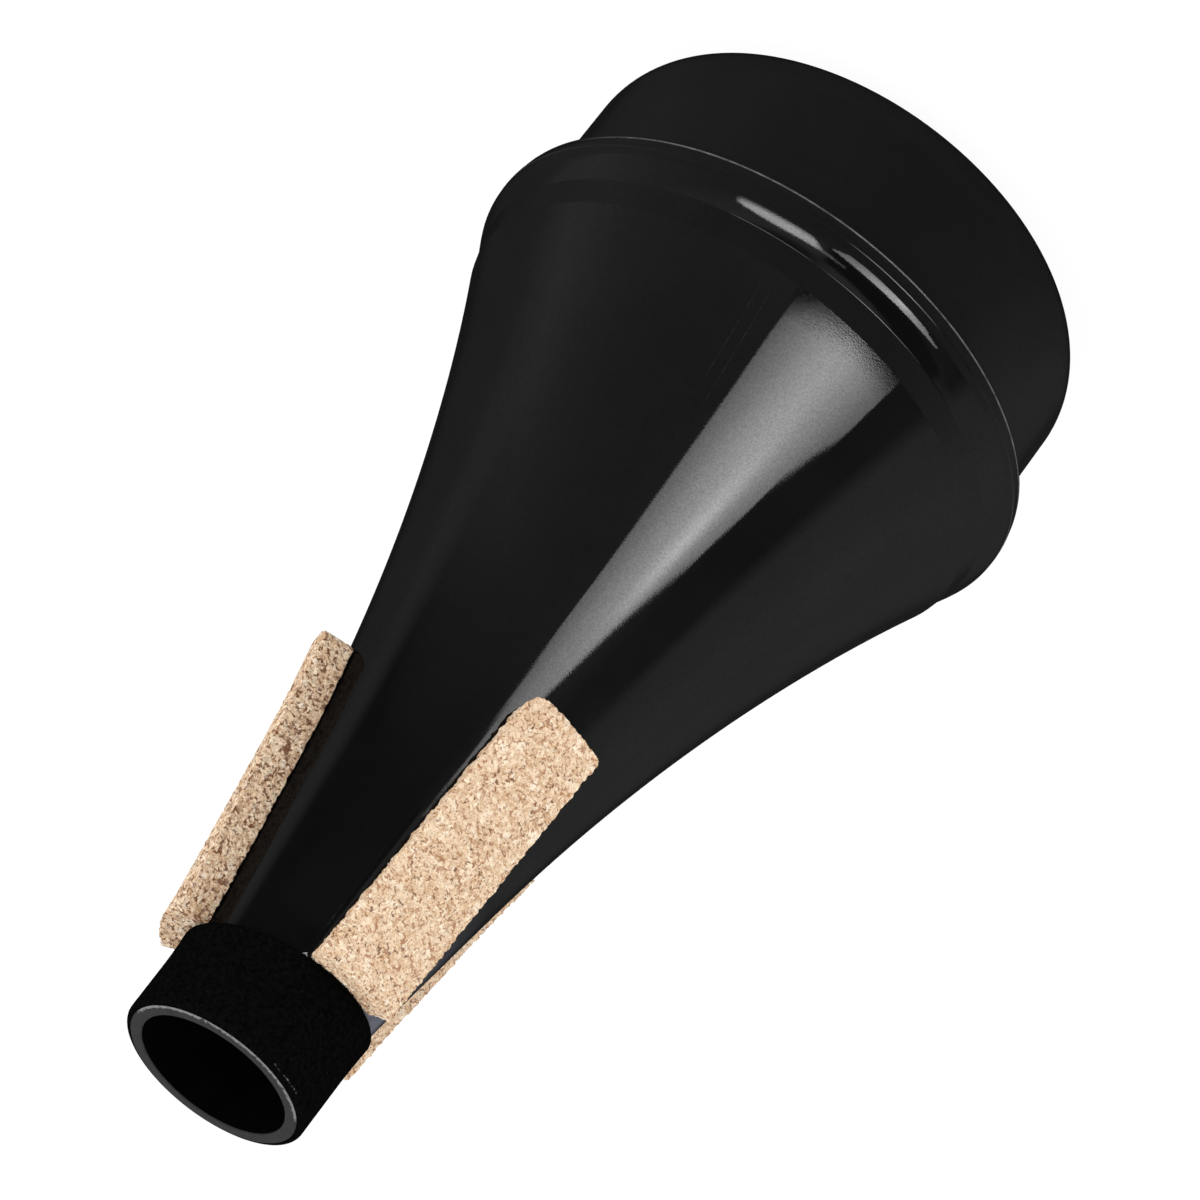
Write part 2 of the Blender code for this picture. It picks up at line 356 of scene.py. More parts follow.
def sawn_material():
    """The neck's sawn end: grey and rough, with fine saw marks and a pale burr at its edge."""
    m = new_material("sawn_neck_end")
    place = m.place()
    axes = m.axes(place)
    radius = m.math("SQRT", m.math("ADD", m.math("MULTIPLY", axes["X"], axes["X"]),
                                   m.math("MULTIPLY", axes["Y"], axes["Y"])))
    grain = m.noise(place, 900.0, 6.0, 0.7)
    base = m.ramp(grain, [(0.3, (0.0135, 0.0135, 0.014)), (0.7, (0.022, 0.022, 0.023))])
    ragged = m.math("MULTIPLY_ADD", m.noise(place, 1300.0, 4.0, 0.7), BURR_REACH)
    m.feed(ragged.node.inputs[2], radius)
    burr = m.remap(ragged, *BURR_RADII)
    burr = m.math("MULTIPLY", burr, m.window(m.azimuth(axes), *BURR_AZIMUTHS, 3.0))
    base = m.mix(burr, base, (0.16, 0.16, 0.16))
    m.set(Base_Color=base, Roughness=0.7, Specular_IOR_Level=0.1,
          Normal=m.bump(grain, 0.5, 0.1 * MM))
    return m.owner


def bore_material():
    """Unpolished inside of the shell."""
    m = new_material("bore_plastic")
    grain = m.noise(m.place(), 300.0, 3.0)
    m.set(Base_Color=m.ramp(grain, [(0.3, 0.0012), (0.7, 0.002)]), Roughness=0.6,
          Specular_IOR_Level=0.0, Normal=m.bump(grain, 0.3, 0.1 * MM))
    return m.owner


# Dotted pale line near the sleeve's front edge, where its two layers meet
OVERLAP_AZIMUTHS = (20.0, 48.0)
OVERLAP_HEIGHT = 177.6 * MM


def sleeve_material():
    """Deep black matte sleeve with a very fine grain, and a few specks of dust."""
    m = new_material("matte_sleeve")
    place = m.place()
    axes = m.axes(place)
    grain = m.noise(place, 1500.0, 4.0, 0.6)
    base = m.ramp(grain, [(0.35, 0.0012), (0.7, 0.0034)])
    specks = m.remap(m.noise(place, 2600.0, 1.0), 0.74, 0.82)
    base = m.mix(specks, base, (0.013, 0.013, 0.013))
    away = m.math("ABSOLUTE", m.math("SUBTRACT", axes["Z"], OVERLAP_HEIGHT))
    line = m.math("MULTIPLY", m.remap(away, 0.04 * MM, 0.16 * MM, 1.0, 0.0),
                  m.remap(m.noise(place, 2100.0, 2.0), 0.5, 0.6))
    line = m.math("MULTIPLY", line, m.window(m.azimuth(axes), *OVERLAP_AZIMUTHS, 2.0))
    base = m.mix(line, base, (0.09, 0.09, 0.09))
    m.set(Base_Color=base, Roughness=0.85, Specular_IOR_Level=0.0,
          Normal=m.bump(grain, 0.5, 0.05 * MM))
    return m.owner


def glue_material():
    """Dried glue: cloudy, pale and a little glossy."""
    m = new_material("dried_glue")
    cloud = m.noise(m.place(), 1200.0, 3.0)
    m.set(Base_Color=m.ramp(cloud, [(0.3, (0.05, 0.05, 0.05)), (0.65, (0.36, 0.37, 0.37))]),
          Roughness=0.35, Specular_IOR_Level=0.3, Normal=m.bump(cloud, 0.4, 0.05 * MM))
    return m.owner


# Colours of the cork
CORK_TONES = (
    (0.0, (0.34, 0.175, 0.085)),
    (0.3, (0.54, 0.355, 0.215)),
    (0.6, (0.71, 0.53, 0.36)),
    (1.0, (0.83, 0.70, 0.53)),
)
CORK_CREAM = (0.87, 0.78, 0.64)
CORK_SEAM = (0.27, 0.10, 0.038)
# colour of bark specks, also used for the painted shade in the pores
CORK_BARK_AND_PORE_SHADE = (0.13, 0.045, 0.018)
# azimuths over which painted shade, in the pores and strokes, grows towards the left strip
CORK_PORE_SHADE_AZIMUTHS = (-45.0, -70.0)


def cork_material():
    """Agglomerated cork: pale grain, short ragged brown strokes, bark specks and pores, with painted shade
    in the pores towards the left strip.
    """
    m = new_material("agglomerated_cork")
    place = m.place()
    drift = m.add("ShaderNodeTexNoise", {}, Vector=place, Scale=1100.0, Detail=3.0)
    warp = m.add("ShaderNodeVectorMath", {"operation": "MULTIPLY_ADD"})
    m.feed(warp.inputs[0], drift.outputs["Color"])
    m.feed(warp.inputs[1], (1.1 * MM,) * 3)
    m.feed(warp.inputs[2], place)
    warped = warp.outputs[0]

    def cells(size, feature="F1"):
        return m.add("ShaderNodeTexVoronoi", {"feature": feature}, Vector=warped,
                     Scale=1.0 / size)

    pick = m.add("ShaderNodeSeparateColor", {}, Color=cells(GRANULE).outputs["Color"]).outputs
    fine = m.noise(place, 2300.0, 4.0, 0.7)
    drifts = m.noise(place, 600.0, 3.0, 0.5)
    tone = m.math("MULTIPLY_ADD", m.math("SUBTRACT", fine, 0.5), 1.6)
    m.feed(tone.node.inputs[2], m.remap(pick["Red"], 0.0, 1.0, 0.40, 0.80))
    tone = m.math("ADD", tone, m.remap(drifts, 0.3, 0.7, -0.16, 0.16))
    base = m.ramp(tone, CORK_TONES)
    pale = m.remap(m.noise(warped, 620.0, 2.0), 0.58, 0.66, 0.0, 0.6)
    base = m.mix(pale, base, CORK_CREAM)

    # ragged brown strokes, where the seams between coarse and fine granules swell
    coarse_edge = cells(GRANULE, "DISTANCE_TO_EDGE").outputs["Distance"]
    fine_edge = cells(0.6 * GRANULE, "DISTANCE_TO_EDGE").outputs["Distance"]
    swell = m.noise(place, 1300.0, 3.0, 0.6)
    coarse_reach = m.remap(swell, 0.46, 0.70, -0.08, 0.24)
    fine_reach = m.remap(swell, 0.52, 0.36, -0.08, 0.14)
    stroke = m.remap(m.math("SUBTRACT", coarse_edge, coarse_reach), -0.03, 0.07, 1.0, 0.0)
    hair = m.remap(m.math("SUBTRACT", fine_edge, fine_reach), -0.03, 0.07, 0.5, 0.0)
    strokes = m.math("MAXIMUM", stroke, hair)
    base = m.mix(m.math("MULTIPLY", strokes, 0.75), base, CORK_SEAM)

    # clusters of small bark specks, and painted shade in the pores and strokes towards the left strip
    specks_and_pore_shade = m.math("MULTIPLY", m.remap(m.noise(warped, 1700.0, 1.0), 0.61, 0.67),
                   m.remap(m.noise(place, 420.0, 2.0), 0.46, 0.56))
    pore_shade_side = m.remap(m.azimuth(m.axes(place)), *CORK_PORE_SHADE_AZIMUTHS)
    pores_to_shade = m.math("MAXIMUM", m.remap(m.noise(warped, 1000.0, 2.0), 0.58, 0.66),
                  m.math("MULTIPLY", strokes, strokes))
    specks_and_pore_shade = m.math("MAXIMUM", specks_and_pore_shade, m.math("MULTIPLY", pores_to_shade, pore_shade_side))
    base = m.mix(m.math("MULTIPLY", specks_and_pore_shade, 0.85), base, CORK_BARK_AND_PORE_SHADE)
    height = m.math("SUBTRACT", m.math("SUBTRACT", fine, m.math("MULTIPLY", strokes, 0.6)), specks_and_pore_shade)
    m.set(Base_Color=base, Roughness=0.9, Specular_IOR_Level=0.15,
          Normal=m.bump(height, 0.5, 0.1 * MM))
    return m.owner


def wall(depth):
    """Radius of the shell's outer wall, and its angle, at a depth below the neck opening."""
    radius = NECK_RADIUS
    start = 0.0
    for end, start_degrees, end_degrees, _ in WALL_RUNS:
        angle = math.radians(start_degrees)
        turn = math.sin(math.radians(end_degrees)) - math.sin(angle)
        reach = min(depth, end) - start
        here = math.asin(math.sin(angle) + turn * reach / (end - start))
        if turn:
            radius += (end - start) / turn * (math.cos(angle) - math.cos(here))
        else:
            radius += reach * math.tan(angle)
        if depth <= end:
            break
        start = end
    return radius, here


def wall_radius(depth):
    return min(wall(depth)[0], BEAD_RADIUS)


def inner_wall_radius(depth):
    radius, angle = wall(depth)
    return radius - WALL / math.cos(angle)


def spaced(start, end, cells):
    return [start + (end - start) * i / cells for i in range(cells + 1)]


def arc(center, radius, start, end, cells):
    """Points of an arc in the (r, z) plane, with both ends; angles in degrees."""
    points = []
    for i in range(cells + 1):
        angle = math.radians(start + (end - start) * i / cells)
        points.append((center[0] + radius * math.cos(angle),
                       center[1] + radius * math.sin(angle)))
    return points


def add_object(name, mesh, *materials):
    item = bpy.data.objects.new(name, mesh)
    bpy.context.scene.collection.objects.link(item)
    for material in materials:
        mesh.materials.append(material)
    return item


def settle(item, sharp_degrees=35.0):
    """Turns a piece's modifiers into its mesh, smooth but for the sharp edges."""
    depsgraph = bpy.context.evaluated_depsgraph_get()
    mesh = bpy.data.meshes.new_from_object(item.evaluated_get(depsgraph))
    mesh.name = item.name
    mesh.shade_smooth()
    mesh.set_sharp_from_angle(angle=math.radians(sharp_degrees))
    item.modifiers.clear()
    item.data = mesh
    return item


def turned(name, outline, closed, *materials):
    """A turned piece: the (r, z) outline goes down its outer side and up its inner side."""
    mesh = bpy.data.meshes.new(name)
    edges = [(i, i + 1) for i in range(len(outline) - 1)]
    if closed:
        edges.append((len(outline) - 1, 0))
    mesh.from_pydata([(r, 0.0, z) for r, z in outline], edges, [])
    item = add_object(name, mesh, *materials)
    screw = item.modifiers.new("Turn", "SCREW")
    screw.axis = "Z"
    screw.steps = TURN_STEPS
    screw.render_steps = TURN_STEPS
    screw.use_merge_vertices = True
    screw.merge_threshold = 0.002 * MM
    screw.use_smooth_shade = True
    return item


def finish_piece(item, node):
    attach(item, "root")
    if node:
        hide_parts(node)


def shell_outline():
    lip_height = SEAM_HEIGHT + SEAM_GAP / 2.0
    depths = [EDGE_ROUND]
    start = 0.0
    for end, _, _, cells in WALL_RUNS:
        depths += spaced(start, end, cells)[1:]
        start = end
    depths[-1] = TOTAL_HEIGHT - lip_height
    outer = [(NECK_RADIUS - EDGE_ROUND, TOTAL_HEIGHT)]
    outer += [(wall_radius(d), TOTAL_HEIGHT - d) for d in depths]

    inner_depths = []
    start = 0.0
    for end, _, _, cells in WALL_RUNS:
        if end <= FLARE_END:
            inner_depths += spaced(start, end, max(2, cells // 2))[1:]
            start = end
    socket_depth = FLARE_END + (SOCKET_RADIUS - inner_wall_radius(FLARE_END)) / math.tan(wall(FLARE_END)[1])
    inner = [(SOCKET_RADIUS, lip_height), (SOCKET_RADIUS, TOTAL_HEIGHT - socket_depth)]
    inner += [(inner_wall_radius(d), TOTAL_HEIGHT - d) for d in reversed(inner_depths)]
    bore = NECK_RADIUS - WALL
    inner += [(bore, TOTAL_HEIGHT - EDGE_ROUND), (bore + EDGE_ROUND, TOTAL_HEIGHT)]
    return outer + inner


def make_shell(gloss, sawn, bore):
    shell = settle(turned("shell_moulding", shell_outline(), True, gloss, sawn, bore))
    for edge in shell.data.edges:
        heights = [shell.data.vertices[i].co.z for i in edge.vertices]
        if max(abs(z - TOTAL_HEIGHT + CONE_END) for z in heights) < 0.001 * MM:
            edge.use_edge_sharp = True
    for face in shell.data.polygons:
        x, y, z = face.center
        radius = math.hypot(x, y)
        outward = face.normal.x * x + face.normal.y * y
        if z > TOTAL_HEIGHT - 0.5 * EDGE_ROUND * 1.01:
            face.material_index = 1
        elif outward < 0.0 and radius < SOCKET_RADIUS + 0.1 * MM:
            face.material_index = 2
    finish_piece(shell, "body_shell")


def cap_outline():
    inner_radius = CAP_RADIUS - CAP_WALL
    flange_top = SEAM_HEIGHT - SEAM_GAP / 2.0
    spigot_radius = SOCKET_RADIUS - 0.15 * MM
    round_center = (CAP_RADIUS - CAP_ROUND, CAP_ROUND)
    recess_top = RECESS_DEPTH + CAP_WALL
    recess_radius = REST_INNER_RADIUS - RECESS_SLOPE
    inside = [
        (0.0, recess_top),
        (recess_radius + CAP_WALL / 2.0, recess_top),
        (REST_INNER_RADIUS + CAP_WALL / 2.0, CAP_WALL),
    ]
    inside += arc(round_center, CAP_ROUND - CAP_WALL, -90.0, 0.0, 12)
    inside.append((inner_radius, SPIGOT_TOP))
    spigot = [
        (spigot_radius - SPIGOT_CHAMFER, SPIGOT_TOP),
        (spigot_radius, SPIGOT_TOP - SPIGOT_CHAMFER),
        (spigot_radius, flange_top),
    ]
    # lower half of the bead: chamfered lip, arc, flash, rounded rim
    bead_top = flange_top - LIP_HEIGHT
    flange = [(BEAD_RADIUS, bead_top)]
    for angle in reversed(spaced(LIP_ANGLES[0], LIP_ANGLES[1], LIP_CELLS - 1)):
        radius, height = flange[0]
        height += LIP_HEIGHT / LIP_CELLS
        radius -= LIP_HEIGHT / LIP_CELLS * math.tan(math.radians(angle))
        flange.insert(0, (radius, height))
    bead_run = bead_top - RIM_HEIGHT
    bead_drop = BEAD_RADIUS - RIM_RADIUS
    section = (bead_run ** 2 + bead_drop ** 2) / (2.0 * bead_drop)
    end = math.degrees(math.asin((bead_top - FLASH_HEIGHT - 2.0 * FLASH_PROUD) / section))
    bead = arc((BEAD_RADIUS - section, bead_top), section, 0.0, -end, 10)[1:]
    flash_radius = bead[-1][0] + FLASH_PROUD
    flash = [(flash_radius - 0.1 * FLASH_PROUD, FLASH_HEIGHT + 0.2 * FLASH_PROUD),
             (flash_radius, FLASH_HEIGHT - 0.5 * FLASH_PROUD),
             (flash_radius - 1.5 * FLASH_PROUD, FLASH_HEIGHT - 2.0 * FLASH_PROUD)]
    rim_center = (flash[-1][0] - RIM_ROUND, RIM_HEIGHT + RIM_ROUND)
    rim = arc(rim_center, RIM_ROUND, -8.0, -90.0, 6)
    fillet_center = (CAP_RADIUS + RIM_FILLET, RIM_HEIGHT - RIM_FILLET)
    outside = arc(fillet_center, RIM_FILLET, 90.0, 180.0, 8)
    outside += arc(round_center, CAP_ROUND, 0.0, -90.0, 28)
    outside += [
        (REST_INNER_RADIUS, 0.0),
        (recess_radius, RECESS_DEPTH),
        (0.0, RECESS_DEPTH),
    ]
    return inside + spigot + flange + bead + flash + rim + outside


def make_cap(gloss, bore, edge, flash_highlight):
    cap = settle(turned("cap_moulding", cap_outline(), False, gloss, bore, edge, flash_highlight))
    lip_low = SEAM_HEIGHT - SEAM_GAP / 2.0 - LIP_HEIGHT
    flash_high = FLASH_HEIGHT + 6.0 * FLASH_PROUD
    for face in cap.data.polygons:
        x, y, z = face.center
        radius = math.hypot(x, y)
        outward = face.normal.x * x + face.normal.y * y
        floor = face.normal.z > 0.5 and z < CAP_ROUND
        if (outward < -1e-6 and radius < CAP_RADIUS and z > CAP_WALL * 0.99) or floor:
            face.material_index = 1
        elif radius > CAP_RADIUS + RIM_FILLET and z > lip_low:
            face.material_index = 2
        elif radius > RIM_RADIUS - RIM_ROUND and FLASH_HEIGHT - 2.5 * FLASH_PROUD < z < flash_high:
            face.material_index = 3
    finish_piece(cap, "end_cap")


def band_edge(x, y):
    """Height of the sleeve's lower edge at a place round the neck."""
    return BAND_EDGE_HEIGHT + BAND_TILT_X * x + BAND_TILT_Y * y


def make_band(sleeve):
    """The sleeve, with a rolled front edge; its lower edge is slanted and a little uneven."""
    top = 0.25 * MM
    bottom = TOTAL_HEIGHT - BAND_EDGE_HEIGHT
    depths = [top + BAND_ROUND] + spaced(2.0 * MM, bottom - 0.3 * MM, 16)
    outer = [(wall_radius(d) + BAND_GAP + BAND_THICKNESS, TOTAL_HEIGHT - d) for d in depths]
    outer.append((outer[-1][0] - 0.25 * MM, TOTAL_HEIGHT - bottom))
    inner = [(wall_radius(d) + BAND_GAP, TOTAL_HEIGHT - d)
             for d in [bottom, 0.7 * bottom, 0.5 * bottom, top]]
    corner = (outer[0][0] - BAND_ROUND, outer[0][1])
    rounding = arc(corner, BAND_ROUND, 90.0, 0.0, 6)
    band = settle(turned("neck_sleeve", rounding[:-1] + outer + inner, True, sleeve), 50.0)
    start = TOTAL_HEIGHT - 2.0 * MM
    for vertex in band.data.vertices:
        x, y, z = vertex.co
        share = max(0.0, min(1.0, (start - z) / (start - BAND_EDGE_HEIGHT)))
        uneven = 0.10 * MM * noise.noise(Vector((x, y, 0.0)) * 260.0)
        vertex.co.z += share * (band_edge(x, y) - BAND_EDGE_HEIGHT + uneven)
    finish_piece(band, "neck_band")


def round_the_shell(azimuth, height, proud):
    """A point that stands proud of the shell's outer wall."""
    radius = wall_radius(TOTAL_HEIGHT - height) + proud
    turn = math.radians(azimuth)
    return Vector((-radius * math.sin(turn), -radius * math.cos(turn), height))


# Runs of dried glue: azimuths of both ends, heights over the sleeve's lower edge at
# both ends, and the thickness
GLUE_RUNS = (
    ("glue_line", (-31.0, -3.0), (-0.05, -0.05), 0.11 * MM),
    ("glue_blob_a", (-2.6, 0.6), (0.1, -0.8), 0.17 * MM),
    ("glue_blob_b", (0.2, 3.4), (-0.6, 0.2), 0.15 * MM),
    ("glue_blob_c", (-70.5, -67.0), (-0.2, -0.1), 0.26 * MM),
)


def make_glue(glue):
    """Thin, uneven runs of dried glue that were squeezed out along the sleeve's edge."""
    for seed, (name, azimuths, rises, thickness) in enumerate(GLUE_RUNS):
        cells = max(6, int((azimuths[1] - azimuths[0]) * 1.6))
        curve = bpy.data.curves.new(name, "CURVE")
        curve.dimensions = "3D"
        curve.bevel_depth = thickness
        curve.bevel_resolution = 2
        curve.use_fill_caps = True
        spline = curve.splines.new("POLY")
        spline.points.add(cells)
        for i, point in enumerate(spline.points):
            share = i / cells
            azimuth = azimuths[0] + (azimuths[1] - azimuths[0]) * share
            spot = round_the_shell(azimuth, BAND_EDGE_HEIGHT, 0.0)
            rise = (rises[0] + (rises[1] - rises[0]) * share) * MM
            uneven = noise.noise(Vector((azimuth * 0.35, seed * 3.7, 0.0)))
            height = band_edge(spot.x, spot.y) + rise + 0.12 * MM * uneven
            point.co = (*round_the_shell(azimuth, height, 0.4 * thickness), 1.0)
            point.radius = max(0.35, 0.8 + 0.9 * uneven) * (0.3 if i in (0, cells) else 1.0)
        sweep = bpy.data.objects.new(name + "_sweep", curve)
        bpy.context.scene.collection.objects.link(sweep)
        depsgraph = bpy.context.evaluated_depsgraph_get()
        mesh = bpy.data.meshes.new_from_object(sweep.evaluated_get(depsgraph))
        bpy.data.objects.remove(sweep)
        mesh.name = name
        mesh.shade_smooth()
        finish_piece(add_object(name, mesh, glue), None)


def corner_inset(distance, rounding):
    """How far a rounded corner pulls the strip's side in, at a distance from its end."""
    if distance >= rounding:
        return 0.0
    return rounding - math.sqrt(rounding ** 2 - (rounding - distance) ** 2)


def edge_bump(height, seed, amount):
    """Bumps along a strip's long edge, where granules were torn by the knife."""
    slow = noise.noise(Vector((height * 560.0, seed * 5.1, 0.0)))
    quick = noise.noise(Vector((height * 1900.0, seed * 9.7, 3.0)))
    return amount * (0.6 * slow + 0.8 * quick)


def cork_body(seed, name, neck_azimuth, lower_azimuth, roundings, bumps, lean_run, cork):
    """A strip bent round the shell, with an inner and an outer face, then remeshed finely."""
    inner, outer = [], []
    for row in range(CORK_ROWS + 1):
        along = (row / CORK_ROWS) ** 1.5
        middle = math.radians(lower_azimuth + (neck_azimuth - lower_azimuth) * along)
        for column in range(CORK_COLUMNS + 1):
            height = CORK_LOWER_END
            for _ in range(3):
                distance = height - CORK_LOWER_END
                left = -CORK_WIDTH / 2.0 + corner_inset(distance, roundings[0])
                right = CORK_WIDTH / 2.0 - corner_inset(distance, roundings[1])
                left += edge_bump(height, seed, bumps[0])
                right += edge_bump(height, seed + 0.5, bumps[1])
                radius = wall_radius(TOTAL_HEIGHT - height) + CORK_GAP
                azimuth = middle + (left + (right - left) * column / CORK_COLUMNS) / radius
                x = -radius * math.sin(azimuth)
                y = -radius * math.cos(azimuth)
                top = band_edge(x, y) - 0.15 * MM
                height = CORK_LOWER_END + (top - CORK_LOWER_END) * along
            inner.append((x, y, height))
            angle = wall(TOTAL_HEIGHT - height)[1]
            lean = min(1.0, (height - CORK_LOWER_END) / lean_run) if lean_run else 1.0
            out = lean * math.cos(angle) + (1.0 - lean) / math.cos(angle)
            radius += CORK_THICKNESS * out
            outer.append((-radius * math.sin(azimuth), -radius * math.cos(azimuth),
                          height + CORK_THICKNESS * lean * math.sin(angle)))
    mesh = bpy.data.meshes.new(name)
    mesh.from_pydata(inner + outer, [], strip_faces(len(inner)))
    strip = add_object(name, mesh, cork)
    remesh = strip.modifiers.new("Fine", "REMESH")
    remesh.mode = "VOXEL"
    remesh.voxel_size = CORK_VOXEL * 1.0
    return settle(strip, 180.0)


def strip_faces(layer):
    """Faces of a strip: two grids of points, and the walls that join their edges."""
    width = CORK_COLUMNS + 1
    faces = []
    for row in range(CORK_ROWS):
        for column in range(CORK_COLUMNS):
            a = row * width + column
            faces.append((a, a + 1, a + width + 1, a + width))
            faces.append((layer + a, layer + a + width, layer + a + width + 1, layer + a + 1))
    last = CORK_ROWS * width
    rim = list(range(width))
    rim += [row * width + CORK_COLUMNS for row in range(1, CORK_ROWS + 1)]
    rim += [last + column for column in reversed(range(CORK_COLUMNS))]
    rim += [row * width for row in reversed(range(1, CORK_ROWS))]
    for a, b in zip(rim, rim[1:] + rim[:1]):
        faces.append((b, a, layer + a, layer + b))
    return faces


def roughen(strip, seed):
    """Granules stand proud by unlike amounts, with low seams, and a few are torn out."""
    shift = Vector((seed * 0.37, seed * 0.53, seed * 0.71))
    mesh = strip.data
    normals = [v.normal.copy() for v in mesh.vertices]
    for vertex, normal in zip(mesh.vertices, normals):
        distances, points = noise.voronoi(vertex.co / GRANULE + shift)
        seam = max(0.0, 1.0 - (distances[1] - distances[0]) / 0.25)
        lift = noise.cell(points[0] * 7.3)
        fine = noise.noise(vertex.co * 2600.0 + shift)
        drop = 0.04 * MM * (1.0 - lift) + 0.06 * MM * seam + 0.04 * MM * abs(fine)
        if lift < 0.07:
            drop += 0.16 * MM * (1.0 - seam)
        vertex.co -= normal * drop


def make_corks(cork):
    for seed, (name, *shape) in enumerate(CORKS, 1):
        strip = cork_body(seed, name + "_strip", *shape, cork)
        roughen(strip, seed)
        finish_piece(strip, name)


# Studio: a pale table that glows with a painted pool of light, and pale and grey walls round it. Levels by
# azimuth, of the walls and of the table near the object
WALL_LEVELS = ((-180.0, 0.9), (-150.0, 0.9), (-122.0, 1.12), (-90.0, 1.12), (-75.0, 0.9),
               (-60.0, 0.75), (-45.0, 0.63), (-15.0, 0.55), (0.0, 0.60), (30.0, 0.60),
               (42.0, 0.32), (61.0, 0.30), (69.0, 1.1), (120.0, 1.2), (150.0, 1.15), (180.0, 0.9))
NEAR_LEVELS = ((-180.0, 0.65), (-120.0, 0.62), (-105.0, 0.76), (-75.0, 0.77), (-60.0, 0.62),
               (0.0, 0.47), (45.0, 0.5), (60.0, 0.72), (75.0, 1.0), (105.0, 1.15),
               (150.0, 1.15), (180.0, 0.65))
TOP_LEVEL = 1.25
# where the table's levels turn into the walls' levels, and the sector where the gloss sees
# the room past the table's edge
TABLE_BLEND = (0.38, 1.0)
EDGE_AZIMUTHS = (-98.0, 8.0)
TABLE_EDGE = (0.38, 0.43)
FLOOR_LEVEL = 1.03
FLOOR_SHARE = 0.93


def make_floor():
    mesh = bpy.data.meshes.new("floor")
    disc = bmesh.new()
    bmesh.ops.create_circle(disc, cap_ends=True, segments=96, radius=6.0)
    disc.to_mesh(mesh)
    disc.free()
    m = new_material("pale_floor")
    m.set(Base_Color=(0.8, 0.8, 0.8), Roughness=1.0, Specular_IOR_Level=0.0)
    place = m.place()
    azimuth = m.azimuth(m.axes(place))
    length = m.add("ShaderNodeVectorMath", {"operation": "LENGTH"})
    m.feed(length.inputs[0], place)
    away = length.outputs["Value"]
    # the table's glow: painted light set by azimuth near the object, turning into the walls' levels further
    # out; camera rays see it evenly white
    level = m.mix(m.remap(away, *TABLE_BLEND), m.scaled_ramp(azimuth, NEAR_LEVELS, TOP_LEVEL),
                  m.scaled_ramp(azimuth, WALL_LEVELS, TOP_LEVEL))
    paths = m.add("ShaderNodeLightPath", {}).outputs
    level = m.mix(paths["Is Camera Ray"], level, (FLOOR_LEVEL,) * 3)
    glow = m.add("ShaderNodeEmission", {}, Strength=level)
    seen = m.math("MAXIMUM", paths["Is Camera Ray"], paths["Is Glossy Ray"])
    seen = m.math("MAXIMUM", seen, paths["Is Transmission Ray"])
    mix = m.add("ShaderNodeMixShader", {}, Fac=m.math("MULTIPLY", seen, FLOOR_SHARE))
    m.feed(mix.inputs[1], m.shader.outputs[0])
    m.feed(mix.inputs[2], glow.outputs[0])
    past = m.math("MULTIPLY", m.remap(away, *TABLE_EDGE), m.window(azimuth, *EDGE_AZIMUTHS, 10.0))
    open_air = m.add("ShaderNodeBsdfTransparent", {})
    cut = m.add("ShaderNodeMixShader", {}, Fac=m.math("MULTIPLY", past, paths["Is Glossy Ray"]))
    m.feed(cut.inputs[1], mix.outputs[0])
    m.feed(cut.inputs[2], open_air.outputs[0])
    m.feed(m.nodes["Material Output"].inputs["Surface"], cut.outputs[0])
    add_object("floor", mesh, m.owner)


# Heights, as sines of the elevation: the walls' blurred top, the dark hangings over the
# panel and the dim room below the table's edge, with their azimuths
CEILING_LEVEL = 1.2
WALL_TOP = (math.sin(math.radians(12.0)), math.sin(math.radians(20.0)))
HANGING_HEIGHTS = (math.sin(math.radians(13.5)), math.sin(math.radians(20.3)))
HANGING_AZIMUTHS = (-4.0, 56.0)
HANGING_LEVEL = 0.12
VALANCE_HEIGHTS = (math.sin(math.radians(20.0)), math.sin(math.radians(27.0)))
VALANCE_AZIMUTHS = (-52.0, -4.0)
VALANCE_LEVEL = 0.3
ROOM_HEIGHTS = (math.sin(math.radians(-13.5)), math.sin(math.radians(-4.5)))
ROOM_LEVEL = 0.13


def make_world():
    world = bpy.data.worlds.new("studio")
    bpy.context.scene.world = world
    m = Shading(world, "Background")
    axes = m.axes(m.add("ShaderNodeTexCoord", {}).outputs["Generated"])
    azimuth = m.azimuth(axes)
    walls = m.scaled_ramp(azimuth, WALL_LEVELS, TOP_LEVEL)
    color = m.mix(m.remap(axes["Z"], *WALL_TOP), walls, (CEILING_LEVEL,) * 3)
    low = m.math("MULTIPLY", m.remap(axes["Z"], *ROOM_HEIGHTS, 1.0, 0.0),
                 m.window(azimuth, *EDGE_AZIMUTHS, 12.0))
    color = m.mix(low, color, (ROOM_LEVEL,) * 3)
    hanging = m.math("MULTIPLY", m.window(axes["Z"], *HANGING_HEIGHTS, 0.008),
                     m.window(azimuth, *HANGING_AZIMUTHS, 2.0))
    color = m.mix(hanging, color, (HANGING_LEVEL,) * 3)
    valance = m.math("MULTIPLY", m.window(axes["Z"], *VALANCE_HEIGHTS, 0.01),
                     m.window(azimuth, *VALANCE_AZIMUTHS, 6.0))
    m.set(Color=m.mix(valance, color, (VALANCE_LEVEL,) * 3), Strength=1.0)


def direction(azimuth, elevation):
    """Unit vector from the object, in degrees."""
    a = math.radians(azimuth)
    e = math.radians(elevation)
    return Vector((-math.sin(a) * math.cos(e), -math.cos(a) * math.cos(e), math.sin(e)))


